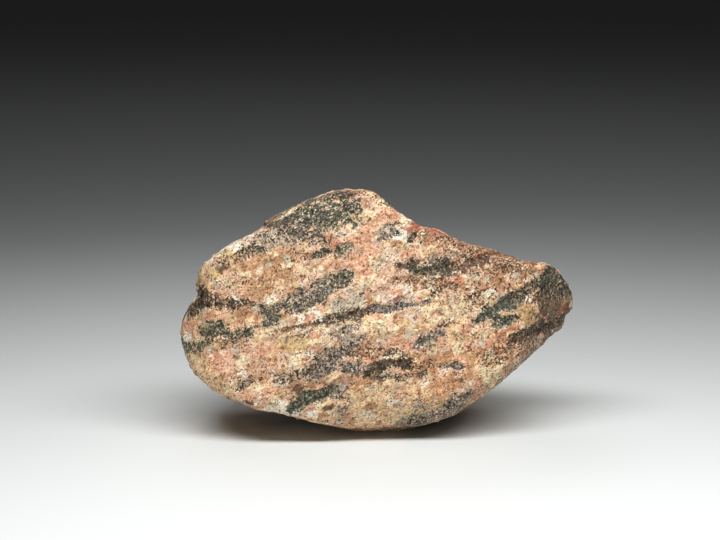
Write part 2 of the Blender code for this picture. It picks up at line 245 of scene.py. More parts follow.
FRONT_BANDS = (
    MicaBand("crown tail", ((261, 226, 2.5), (276, 225, 4), (292, 222, 5)), Mica.BIOTITE, 0.95),
    MicaBand(
        "crown patch", ((288, 219, 8), (306, 219, 14), (326, 216, 16), (346, 212, 12)), Mica.CHLORITE, 0.84
    ),
    MicaBand(
        "crown edge", ((304, 205, 2.5), (312, 202, 3), (330, 197, 4), (345, 194, 3)), Mica.BIOTITE, 0.8
    ),
    MicaBand("crown foot", ((312, 233, 3), (326, 231, 4)), Mica.CHLORITE, 0.7),
    MicaBand("upper left flake", ((240, 252, 4), (252, 249, 4.5), (266, 247, 2.5)), Mica.CHLORITE, 0.74),
    MicaBand("upper flake", ((313, 254, 2.5), (321, 252, 5), (328, 250, 3)), Mica.CHLORITE, 0.72),
    MicaBand("upper right flake", ((334, 256, 3), (342, 251, 5), (350, 245, 3)), Mica.CHLORITE, 0.74),
    MicaBand("middle band", ((266, 316, 4), (284, 307, 5), (304, 298, 7), (324, 289, 8)), Mica.GREY, 0.82),
    MicaBand("middle band top", ((320, 290, 6), (334, 283, 7), (346, 278, 7)), Mica.CHLORITE, 0.78),
    MicaBand("middle band foot", ((311, 303, 4), (322, 299, 5)), Mica.CHLORITE, 0.82),
    MicaBand("left notch", ((194, 294, 4), (200, 292, 5), (206, 295, 3.5)), Mica.BIOTITE, 1.0),
    MicaBand("left band", ((182, 314, 6), (196, 305, 7), (214, 302, 6), (232, 303, 4)), Mica.BIOTITE, 0.86),
    MicaBand("left band end", ((232, 304, 4), (246, 305, 3.5), (260, 306, 2.5)), Mica.BIOTITE, 0.74),
    MicaBand("grey run", ((262, 312, 5), (280, 309, 6), (300, 307, 5), (316, 304, 4)), Mica.CHLORITE, 0.68),
    MicaBand("green flake", ((265, 323, 4), (273, 321, 5), (280, 318, 3)), Mica.CHLORITE, 0.86),
    MicaBand(
        "second left band",
        ((205, 333, 5), (215, 328, 6), (232, 334, 6), (248, 332, 4)), Mica.CHLORITE, 0.86,
    ),
    MicaBand("low left band", ((184, 349, 5), (197, 348, 5), (214, 342, 3)), Mica.CHLORITE, 0.78),
    MicaBand("left seam tip", ((246, 330, 3), (258, 325, 2)), Mica.BIOTITE, 0.7),
    MicaBand("red lines", ((277, 331, 1.6), (292, 329, 1.8), (308, 328, 1.6)), Mica.RUST, 0.8),
    MicaBand(
        "middle seam", ((318, 325, 3), (332, 320, 4), (350, 314, 4), (372, 309, 3)), Mica.BIOTITE, 0.84
    ),
    MicaBand(
        "middle seam end",
        ((372, 309, 3.6), (388, 311, 4), (403, 307, 2.8), (430, 301, 1.8)), Mica.GREY, 0.9,
    ),
    MicaBand("grey patch", ((336, 336, 6), (346, 329, 8), (356, 322, 5)), Mica.GREY, 0.55),
    MicaBand("purple band", ((312, 371, 7), (330, 361, 9), (342, 352, 8), (358, 342, 5)), Mica.GREY, 0.82),
    MicaBand(
        "purple band foot", ((274, 381, 3), (290, 376, 4), (306, 372, 3), (320, 367, 3)), Mica.BIOTITE, 0.66
    ),
    MicaBand("purple seam", ((352, 345, 2.4), (364, 338, 1.6)), Mica.BIOTITE, 0.66),
    MicaBand("low left flake", ((237, 388, 3), (243, 385, 4), (250, 381, 2)), Mica.GREY, 0.82),
    MicaBand("green core", ((368, 371, 4), (378, 366, 6), (392, 364, 6), (408, 365, 4)), Mica.BIOTITE, 1.0),
    MicaBand("green core grey", ((345, 368, 4), (358, 367, 4.5), (368, 366, 3)), Mica.GREY, 0.74),
    MicaBand("rusty seam", ((414, 366, 2.5), (424, 363, 3), (438, 360, 2)), Mica.RUST, 0.82),
    MicaBand("rusty seam end", ((442, 367, 2.2), (454, 367, 3), (466, 368, 2.2)), Mica.GREY, 0.8),
    MicaBand(
        "low middle band", ((289, 407, 4), (300, 402, 6), (314, 396, 6), (332, 391, 4)), Mica.CHLORITE, 1.0
    ),
    MicaBand("foot patch", ((336, 424, 3), (341, 415, 4), (345, 409, 3)), Mica.GREY, 0.6),
    MicaBand("centre flake", ((416, 346, 3.5), (426, 340, 6), (440, 334, 4)), Mica.GREY, 0.78),
    MicaBand("centre flake core", ((421, 343, 2), (428, 339, 3)), Mica.BIOTITE, 0.9),
    MicaBand("right seam head", ((400, 265, 4), (418, 264, 3.4)), Mica.BIOTITE, 1.0),
    MicaBand("right seam green", ((415, 270, 4), (427, 273, 6), (439, 272, 5)), Mica.CHLORITE, 0.98),
    MicaBand(
        "right seam", ((434, 271, 5), (450, 267, 5.5), (468, 263, 5), (484, 258, 4.5)), Mica.BIOTITE, 1.15
    ),
    MicaBand("right seam end", ((480, 258, 4), (494, 253, 4.5), (504, 250, 3)), Mica.RUST, 0.82),
    MicaBand("right seam shade", ((426, 263, 4), (440, 259, 5), (462, 254, 4)), Mica.GREY, 0.55),
    MicaBand("slope line", ((384, 226, 1.8), (400, 223, 1.8)), Mica.GREY, 0.74),
    MicaBand("slope flake", ((379, 240, 3.4), (388, 235, 5), (397, 233, 3)), Mica.GREY, 0.78),
    MicaBand("slope spot", ((411, 240, 2.6), (415, 234, 3)), Mica.BIOTITE, 0.82),
    MicaBand("shoulder flake", ((504, 267, 4), (514, 263, 6), (524, 259, 4)), Mica.BIOTITE, 0.74),
    MicaBand(
        "far seam", ((478, 321, 4), (494, 312, 6), (508, 304, 6.5), (522, 295, 5)), Mica.CHLORITE, 1.0
    ),
    MicaBand(
        "far seam rise", ((522, 295, 4), (536, 286, 5), (550, 282, 6), (566, 278, 5)), Mica.CHLORITE, 0.9
    ),
    MicaBand("far seam crest", ((543, 276, 4), (549, 270, 5), (554, 266, 3)), Mica.CHLORITE, 0.84),
    MicaBand("far patch", ((540, 296, 6), (552, 291, 8), (566, 288, 7)), Mica.BIOTITE, 0.72),
    MicaBand("far flake", ((494, 325, 3), (504, 321, 4), (516, 317, 3)), Mica.CHLORITE, 0.84),
    MicaBand("far ledge", ((512, 338, 4), (528, 334, 5), (544, 327, 5), (564, 320, 5)), Mica.BIOTITE, 1.1),
    MicaBand("far brown", ((508, 350, 4), (520, 345, 4)), Mica.BIOTITE, 0.62),
    # Painted shade: grey along the lower right edge, where the underside facet turns away from the light.
    MicaBand("edge grey", ((504, 384, 4), (518, 372, 6), (538, 354, 5)), Mica.GREY, 0.88),
    MicaBand("low right flake", ((446, 408, 4), (458, 402, 6), (470, 396, 3.5)), Mica.GREY, 0.84),
    MicaBand("olive flake", ((434, 294, 3), (446, 289, 4.5), (456, 286, 3)), Mica.BIOTITE, 0.66),
    MicaBand("brown flake", ((470, 297, 3), (480, 293, 4), (488, 290, 2.4)), Mica.RUST, 0.76),
    MicaBand("brown seam", ((438, 330, 2.4), (448, 326, 3), (456, 322, 2)), Mica.RUST, 0.66),
    MicaBand("crown shade", ((250, 243, 4), (274, 236, 7), (298, 230, 9), (316, 239, 6)), Mica.GREY, 0.66),
    # Painted shade: grey where the lower right rim curves under, laid as a band of mica.
    MicaBand(
        "low rim shade", ((404, 425, 4), (424, 419, 6), (448, 413, 7), (466, 405, 4)), Mica.GREY, 0.72
    ),
    MicaBand("middle rust", ((346, 356, 3), (362, 353, 5), (384, 351, 4)), Mica.RUST, 0.55),
    MicaBand("crown gap", ((292, 232, 5), (306, 238, 6), (322, 238, 5)), Mica.BIOTITE, 0.8),
    MicaBand("upper left dust", ((226, 290, 9), (262, 278, 13), (298, 268, 11)), Mica.RUST, 0.27),
    MicaBand("low middle flake", ((332, 392, 3), (344, 389, 4)), Mica.GREY, 0.66),
    MicaBand("right dust", ((438, 298, 7), (470, 292, 9), (500, 286, 8), (536, 294, 7)), Mica.RUST, 0.34),
    MicaBand("low left dust", ((218, 381, 7), (246, 379, 9), (274, 375, 7)), Mica.RUST, 0.3),
    MicaBand("left pale dust", ((214, 341, 5), (238, 342, 6)), Mica.RUST, 0.5),
    MicaBand("right peach dust", ((462, 338, 5), (478, 338, 5)), Mica.RUST, 0.34),
    MicaBand("far dust", ((516, 301, 5), (530, 297, 6), (542, 301, 5)), Mica.BIOTITE, 0.55),
    MicaBand("low middle end", ((336, 395, 4), (346, 398, 4)), Mica.GREY, 0.45),
    MicaBand("yellow dust", ((278, 338, 5), (300, 336, 5)), Mica.RUST, 0.3),
    # Rust mica specks on the upward top-right slope, also darkening it as painted shade where the overhead
    # lamp lights it strongly.
    MicaBand("shoulder shade", ((472, 250, 3), (500, 259, 4), (530, 264, 4)), Mica.RUST, 0.58, 12 * MM),
    MicaBand(
        "slope dust", ((438, 240, 4), (470, 248, 5), (500, 253, 6), (532, 261, 6)), Mica.RUST, 0.66, 9 * MM
    ),
    MicaBand("right brown", ((458, 262, 5), (484, 272, 6), (500, 268, 5)), Mica.RUST, 0.45),
    MicaBand("far brown seam", ((484, 354, 4), (506, 348, 5), (528, 342, 4)), Mica.RUST, 0.5),
    MicaBand("right spots", ((470, 306, 4), (486, 300, 5), (500, 294, 4)), Mica.RUST, 0.45),
    MicaBand("left shoulder shade", ((212, 266, 4), (226, 259, 5), (242, 258, 4)), Mica.RUST, 0.42),
    MicaBand("upper right shade", ((282, 262, 4), (302, 256, 5), (316, 262, 4)), Mica.RUST, 0.4),
    MicaBand("right seam foot", ((398, 280, 4), (420, 281, 6), (444, 282, 4)), Mica.RUST, 0.6),
    MicaBand("peak shade", ((308, 201, 4), (330, 194, 5), (350, 193, 5)), Mica.BIOTITE, 0.86),
    MicaBand("peak dust", ((346, 191, 3), (364, 190, 5), (382, 195, 4)), Mica.RUST, 0.62, 10 * MM),
    MicaBand("shoulder brown", ((492, 262, 5), (512, 268, 6), (536, 272, 4)), Mica.RUST, 0.5, 14 * MM),
    MicaBand("far ledge shade", ((536, 342, 4), (552, 334, 5), (564, 322, 4)), Mica.GREY, 0.6),
    MicaBand("middle brown", ((376, 357, 3), (392, 354, 4), (410, 357, 3)), Mica.BIOTITE, 0.62),
    MicaBand("edge brown", ((484, 364, 4), (500, 360, 5), (520, 350, 4)), Mica.RUST, 0.52),
    MicaBand("low brown", ((376, 377, 3), (398, 376, 3.6), (424, 375, 3)), Mica.BIOTITE, 0.56),
)

BACK_BANDS = (
    MicaBand("back crown", ((-24, 57, 1.58), (-10, 61, 2.3), (4, 60, 1.44)), Mica.CHLORITE, 0.8, 20 * MM),
    MicaBand(
        "back high seam",
        ((-42, 37, 1.01), (-24, 44, 1.58), (-8, 48, 1.44), (6, 52, 0.86)), Mica.BIOTITE, 0.9, 22 * MM,
    ),
    MicaBand("back high flake", ((10, 49, 0.72), (20, 53, 1.15), (28, 55, 0.72)), Mica.GREY, 0.8, 6 * MM),
    MicaBand(
        "back middle band",
        ((-46, 23, 1.15), (-30, 30, 1.87), (-12, 34, 2.16), (6, 38, 1.44)), Mica.CHLORITE, 0.9, 22 * MM,
    ),
    MicaBand("back middle end", ((6, 38, 1.44), (20, 44, 1.15), (36, 49, 0.72)), Mica.BIOTITE, 0.9, 8 * MM),
    MicaBand(
        "back low band",
        ((-30, 13, 1.15), (-14, 19, 1.73), (2, 22, 2.02), (18, 28, 1.44)), Mica.CHLORITE, 0.9, 20 * MM,
    ),
    MicaBand("back low end", ((18, 28, 1.44), (32, 35, 1.15), (46, 40, 0.86)), Mica.GREY, 0.85, 20 * MM),
    MicaBand("back foot seam", ((-8, 8, 0.72), (8, 12, 1.3), (24, 17, 0.86)), Mica.BIOTITE, 0.85, 16 * MM),
    MicaBand(
        "back right flake", ((34, 25, 0.72), (42, 30, 1.3), (50, 34, 0.72)), Mica.CHLORITE, 0.9, 16 * MM
    ),
    MicaBand(
        "back left flake", ((-38, 32, 0.58), (-31, 36, 1.01), (-25, 37, 0.58)), Mica.GREY, 0.8, 12 * MM
    ),
    MicaBand("back small flake", ((-4, 28, 0.5), (4, 31, 0.79), (10, 32, 0.5)), Mica.RUST, 0.75, 12 * MM),
    MicaBand("back peak flake", ((-20, 51, 0.58), (-12, 54, 0.94), (-6, 55, 0.5)), Mica.GREY, 0.8, 12 * MM),
)

TOP_BANDS = (
    MicaBand(
        "top cross band", ((-30, -8, 1.4), (-22, 2, 2.2), (-14, 12, 1.6)), Mica.CHLORITE, 0.85, 12 * MM
    ),
    MicaBand("top crest band", ((8, -4, 1), (16, 3, 1.6), (24, 11, 1)), Mica.BIOTITE, 0.85, 5 * MM),
    MicaBand("top far band", ((34, -4, 1), (40, 3, 1.4), (46, 8, 1)), Mica.CHLORITE, 0.8, 5 * MM),
)

LEFT_BANDS = (
    MicaBand("left cross band", ((-10, 34, 1.2), (0, 31, 2), (12, 26, 1.4)), Mica.BIOTITE, 0.9, 14 * MM),
    MicaBand("left low band", ((-8, 24, 1), (4, 21, 1.8), (14, 17, 1)), Mica.CHLORITE, 0.85, 14 * MM),
)

RIGHT_BANDS = (
    MicaBand("right cross band", ((-10, 40, 1.2), (0, 37, 2), (10, 33, 1.4)), Mica.CHLORITE, 0.9, 14 * MM),
    MicaBand("right low band", ((-6, 26, 1), (4, 23, 1.6), (12, 20, 1)), Mica.BIOTITE, 0.85, 14 * MM),
)

BELOW_BANDS = (
    MicaBand(
        "under left band", ((-30, -8, 1.2), (-22, 2, 2), (-14, 12, 1.4)), Mica.CHLORITE, 0.85, 12 * MM
    ),
    MicaBand("under right band", ((12, -8, 1.2), (20, 2, 2), (28, 12, 1.4)), Mica.BIOTITE, 0.85, 12 * MM),
)

BANDS = {
    Side.FRONT: FRONT_BANDS,
    Side.BACK: BACK_BANDS,
    Side.TOP: TOP_BANDS,
    Side.LEFT: LEFT_BANDS,
    Side.RIGHT: RIGHT_BANDS,
    Side.BELOW: BELOW_BANDS,
}

FRONT_PATCHES = (
    GrainPatch("upper left tan", Mineral.ORANGE, (262, 274), (38, 18), 22, 0.82),
    GrainPatch("upper left orange", Mineral.ORANGE, (284, 268), (22, 14), 30, 0.62),
    GrainPatch("upper left pink", Mineral.PINK, (232, 284), (18, 12), 30, 0.55),
    GrainPatch("top red", Mineral.RED, (328, 241), (15, 6), 12, 0.75),
    GrainPatch("left nose orange", Mineral.RED, (270, 221), (9, 5), 25, 0.8),
    GrainPatch("white nose", Mineral.WHITE, (290, 208), (14, 4.5), 30, 0.9),
    # Painted highlight: white grains along the top-left rim stand in for the light that catches it.
    GrainPatch("cream rim", Mineral.WHITE, (230, 245), (28, 5.5), 28, 1.0, 8 * MM),
    GrainPatch("cream rim left", Mineral.WHITE, (200, 268), (24, 7), 66, 1.0, 8 * MM),
    GrainPatch("notch yellow", Mineral.YELLOW, (206, 282), (9, 9), 30, 0.7),
    GrainPatch("peak pink", Mineral.SALMON, (364, 197), (20, 8), -10, 0.85),
    GrainPatch("peak cream", Mineral.CREAM, (364, 214), (9, 8), 60, 0.8),
    GrainPatch("peak orange", Mineral.SALMON, (384, 214), (12, 9), -40, 0.7),
    GrainPatch("centre salmon", Mineral.SALMON, (362, 260), (16, 20), 80, 0.78),
    GrainPatch("centre pink", Mineral.PINK, (382, 276), (26, 14), 5, 0.7),
    GrainPatch("centre blush", Mineral.BLUSH, (396, 254), (12, 11), 60, 0.7),
    GrainPatch("slope white", Mineral.WHITE, (402, 235), (6, 8), 70, 0.85),
    GrainPatch("slope red", Mineral.RUSSET, (434, 235), (22, 9), -18, 0.8),
    GrainPatch("slope red middle", Mineral.RUSSET, (456, 242), (22, 9), -18, 0.95),
    GrainPatch("slope red end", Mineral.RUSSET, (478, 247), (20, 7), -16, 0.8),
    GrainPatch("shoulder red", Mineral.RUSSET, (498, 254), (20, 8), -18, 0.8),
    GrainPatch("shoulder red end", Mineral.RUSSET, (522, 261), (20, 8), -14, 0.8),
    GrainPatch("slope pink", Mineral.SALMON, (452, 250), (22, 6), -22, 0.8),
    GrainPatch("seam red", Mineral.RED, (456, 280), (16, 7), 15, 0.8),
    GrainPatch("right salmon", Mineral.RED, (496, 284), (15, 18), 70, 0.72),
    GrainPatch("shoulder orange", Mineral.RUSSET, (522, 264), (28, 10), -15, 0.85),
    GrainPatch("end brown", Mineral.BROWN, (550, 304), (20, 18), 60, 0.85),
    GrainPatch("end rust", Mineral.RUSSET, (562, 312), (8, 10), 85, 0.7),
    GrainPatch("right ochre", Mineral.OCHRE, (524, 315), (12, 9), 30, 0.75),
    GrainPatch("far pink", Mineral.RED, (532, 347), (16, 7), 35, 0.75),
    GrainPatch("far ledge red", Mineral.RUSSET, (549, 337), (12, 8), 40, 0.75),
    GrainPatch("centre yellow", Mineral.CREAM, (452, 308), (26, 14), 20, 0.6),
    GrainPatch("centre cream", Mineral.CREAM, (372, 323), (16, 8), 10, 0.8),
    GrainPatch("white streak", Mineral.QUARTZ, (350, 300), (20, 7), 20, 0.85),
    GrainPatch("blush streak", Mineral.BLUSH, (392, 294), (28, 9), 8, 0.85),
    GrainPatch("right slope russet", Mineral.RUSSET, (504, 255), (50, 8), -14, 0.75, 16 * MM),
    GrainPatch("crimson spot", Mineral.CRIMSON, (397, 303), (3, 2.2), 10, 0.9),
    GrainPatch("right peach", Mineral.PEACH, (470, 330), (26, 10), 15, 0.7),
    GrainPatch("right red", Mineral.RED, (496, 346), (26, 14), 20, 0.7),
    GrainPatch("crimson grains", Mineral.CRIMSON, (471, 345), (9, 6), 20, 0.45),
    GrainPatch("middle red", Mineral.RED, (371, 355), (12, 6), -10, 0.72),
    GrainPatch("middle salmon", Mineral.SALMON, (398, 345), (18, 9), 10, 0.7),
    GrainPatch("right ochre seam", Mineral.ORANGE, (458, 358), (36, 10), 5, 0.85),
    GrainPatch("left edge", Mineral.WHITE, (186, 344), (24, 7), 80, 0.7),
    GrainPatch("left salmon", Mineral.SALMON, (192, 327), (9, 9), 40, 0.8),
    GrainPatch("left orange", Mineral.ORANGE, (244, 317), (13, 8), 5, 0.85),
    GrainPatch("left pale", Mineral.QUARTZ, (226, 322), (16, 5), 15, 0.4),
    GrainPatch("low left pink", Mineral.SALMON, (228, 364), (26, 14), 10, 0.65),
    GrainPatch("low left red", Mineral.SALMON, (224, 380), (9, 6), 10, 0.7),
    GrainPatch("low left white", Mineral.WHITE, (245, 374), (7, 4), 10, 0.75),
    GrainPatch("low left rim", Mineral.PEACH, (204, 372), (30, 12), -48, 0.9),
    GrainPatch("middle cream", Mineral.WHITE, (308, 319), (12, 7), 10, 0.85),
    GrainPatch("yellow grains", Mineral.YELLOW, (292, 344), (14, 9), 10, 0.8),
    GrainPatch("pale yellow", Mineral.CREAM, (304, 355), (20, 7), 20, 0.7),
    GrainPatch("left middle salmon", Mineral.SALMON, (262, 357), (16, 12), 50, 0.6),
    GrainPatch("low ochre", Mineral.ORANGE, (321, 380), (12, 6), 10, 0.7),
    GrainPatch("low peach", Mineral.PEACH, (376, 396), (32, 13), 10, 0.95),
    GrainPatch("low white", Mineral.WHITE, (312, 414), (10, 5), 0, 0.8),
    GrainPatch("low left white grains", Mineral.WHITE, (284, 411), (26, 8), -14, 0.9),
    GrainPatch("low pink", Mineral.SALMON, (262, 394), (20, 8), -5, 0.6),
    GrainPatch("low brown", Mineral.ORANGE, (440, 386), (18, 8), 10, 0.75),
    GrainPatch("low blush", Mineral.CREAM, (489, 380), (13, 9), 30, 0.9),
    GrainPatch("low red grains", Mineral.SALMON, (474, 390), (6, 4), 30, 0.8),
    GrainPatch("foot peach", Mineral.PEACH, (372, 416), (28, 10), 0, 0.9),
    # Painted light: white grains that lift the foot of the face, which turns down into shade.
    GrainPatch("foot cream", Mineral.WHITE, (370, 416), (15, 9), 10, 0.85),
    GrainPatch("low cream", Mineral.WHITE, (370, 399), (9, 7), 10, 0.7),
    # Olive grains under the foot, darkened as painted shade where the stone curves under.
    GrainPatch("foot olive", Mineral.OLIVE, (418, 420), (20, 5), 12, 0.7),
    GrainPatch("middle grey", Mineral.QUARTZ, (352, 335), (9, 9), 40, 0.6),
    GrainPatch("low middle peach", Mineral.PEACH, (404, 390), (26, 9), 5, 0.85),
)

BACK_PATCHES = (
    GrainPatch("back salmon", Mineral.SALMON, (-30, 26), (9, 4), 20, 0.8, 16 * MM),
    GrainPatch("back orange", Mineral.ORANGE, (-14, 42), (10, 4), 22, 0.7, 16 * MM),
    GrainPatch("back cream", Mineral.CREAM, (2, 45), (10, 3.5), 20, 0.75, 16 * MM),
    GrainPatch("back peach", Mineral.PEACH, (14, 34), (11, 3.5), 24, 0.75, 16 * MM),
    GrainPatch("back pink", Mineral.PINK, (-8, 27), (10, 3), 20, 0.8, 16 * MM),
    GrainPatch("back red", Mineral.RED, (30, 46), (7, 3), 10, 0.75, 14 * MM),
    GrainPatch("back white", Mineral.WHITE, (-20, 54), (6, 2), 25, 0.8, 12 * MM),
    GrainPatch("back blush", Mineral.BLUSH, (6, 16), (9, 3), 20, 0.7, 14 * MM),
    GrainPatch("back ochre", Mineral.OCHRE, (30, 26), (7, 4), 30, 0.7, 14 * MM),
    GrainPatch("back crimson", Mineral.CRIMSON, (-2, 38), (1.6, 1), 10, 0.8, 8 * MM),
)

TOP_PATCHES = (
    GrainPatch("top salmon", Mineral.SALMON, (-4, 0), (9, 5), 10, 0.7, 12 * MM),
    GrainPatch("top russet", Mineral.RED, (26, 0), (8, 4), -10, 0.7, 12 * MM),
    GrainPatch("top ochre", Mineral.OCHRE, (-36, 2), (6, 5), 30, 0.5, 12 * MM),
)

LEFT_PATCHES = (
    GrainPatch("left orange face", Mineral.ORANGE, (2, 27), (5, 3), 0, 0.7, 10 * MM),
)

RIGHT_PATCHES = (
    GrainPatch("right brown face", Mineral.BROWN, (0, 32), (5, 5), 0, 0.5, 10 * MM),
)

BELOW_PATCHES = (
    GrainPatch("under peach", Mineral.PEACH, (-4, 4), (12, 5), 0, 0.6, 12 * MM),
)

PATCHES = {
    Side.FRONT: FRONT_PATCHES,
    Side.BACK: BACK_PATCHES,
    Side.TOP: TOP_PATCHES,
    Side.LEFT: LEFT_PATCHES,
    Side.RIGHT: RIGHT_PATCHES,
    Side.BELOW: BELOW_PATCHES,
}


@dataclass(frozen=True)
class GrainMix:
    """How common each pale mineral is where no patch says otherwise."""

    shares: tuple[tuple[Mineral, float], ...] = (
        (Mineral.PINK, 0.20),
        (Mineral.SALMON, 0.17),
        (Mineral.PEACH, 0.20),
        (Mineral.CREAM, 0.13),
        (Mineral.ORANGE, 0.09),
        (Mineral.BLUSH, 0.07),
        (Mineral.QUARTZ, 0.07),
        (Mineral.WHITE, 0.03),
        (Mineral.YELLOW, 0.02),
        (Mineral.BROWN, 0.02),
    )

    def colours(self, draws: np.ndarray) -> np.ndarray:
        """The colour of a grain for each random number.

        Args:
            draws: Numbers from 0 to 1.

        Returns:
            One colour a row.
        """
        steps = np.cumsum([share for _mineral, share in self.shares])
        palette = np.array([mineral.value for mineral, _share in self.shares])
        chosen = np.searchsorted(steps / steps[-1], draws)
        return palette[np.minimum(chosen, len(palette) - 1)]


class Graph:
    """A material's node tree, with short ways to add and join nodes."""

    def __init__(self, name: str) -> None:
        """Starts a material with nothing but its output.

        Args:
            name: The material's name.
        """
        self.material = bpy.data.materials.new(name)
        self.material.use_nodes = True
        self.tree = self.material.node_tree
        self.tree.nodes.clear()

    def add(self, kind: str, *inputs: object, **settings: object) -> bpy.types.Node:
        """Adds a node.

        Args:
            kind: The node's type, without the words that all shader nodes begin with.
            inputs: What goes into its first sockets in turn: a value, a socket to join, or None to skip one.
            settings: The node's own properties.

        Returns:
            The node.
        """
        node = self.tree.nodes.new("ShaderNode" + kind)
        for key, value in settings.items():
            setattr(node, key, value)
        for index, value in enumerate(inputs):
            self.feed(node.inputs[index], value)
        return node

    def feed(self, socket: bpy.types.NodeSocket, value: object) -> None:
        """Joins a socket to another, or sets its value.

        Args:
            socket: The socket that is fed.
            value: A socket, a number, a vector, or None to leave it.
        """
        if isinstance(value, bpy.types.NodeSocket):
            self.tree.links.new(value, socket)
        elif value is not None:
            socket.default_value = value

    def maths(self, operation: str, *inputs: object) -> bpy.types.NodeSocket:
        """The result of a Math node."""
        return self.add("Math", *inputs, operation=operation).outputs[0]

    def vectors(self, operation: str, *inputs: object) -> bpy.types.NodeSocket:
        """The vector that a Vector Math node gives."""
        return self.add("VectorMath", *inputs, operation=operation).outputs[0]

    def scaled(self, vector: bpy.types.NodeSocket, scale: object) -> bpy.types.NodeSocket:
        """A vector times a number.

        Args:
            vector: The vector.
            scale: The number, or a socket that gives it.

        Returns:
            The product.
        """
        node = self.add("VectorMath", vector, operation="SCALE")
        self.feed(node.inputs["Scale"], scale)
        return node.outputs[0]

    def centred(self, colour: bpy.types.NodeSocket) -> bpy.types.NodeSocket:
        """A random colour as a vector about nought, from minus a half to a half each way."""
        return self.vectors("SUBTRACT", colour, (0.5, 0.5, 0.5))

    def tints(
        self, factor: bpy.types.NodeSocket, stops: tuple[tuple[float, float, float, float], ...]
    ) -> bpy.types.NodeSocket:
        """A colour read from straight lines between stops. Its values may pass one.

        Args:
            factor: The number that goes in, from 0 to 1.
            stops: Places from 0 to 1, each with its red, green and blue.

        Returns:
            The colour there.
        """
        top = max(max(stop[1:]) for stop in stops)
        node = self.add("ValToRGB", factor)
        elements = node.color_ramp.elements
        while len(elements) < len(stops):
            elements.new(0.5)
        for element, (place, red, green, blue) in zip(elements, stops):
            element.position = place
            element.color = (red / top, green / top, blue / top, 1.0)
        return self.scaled(node.outputs[0], top)


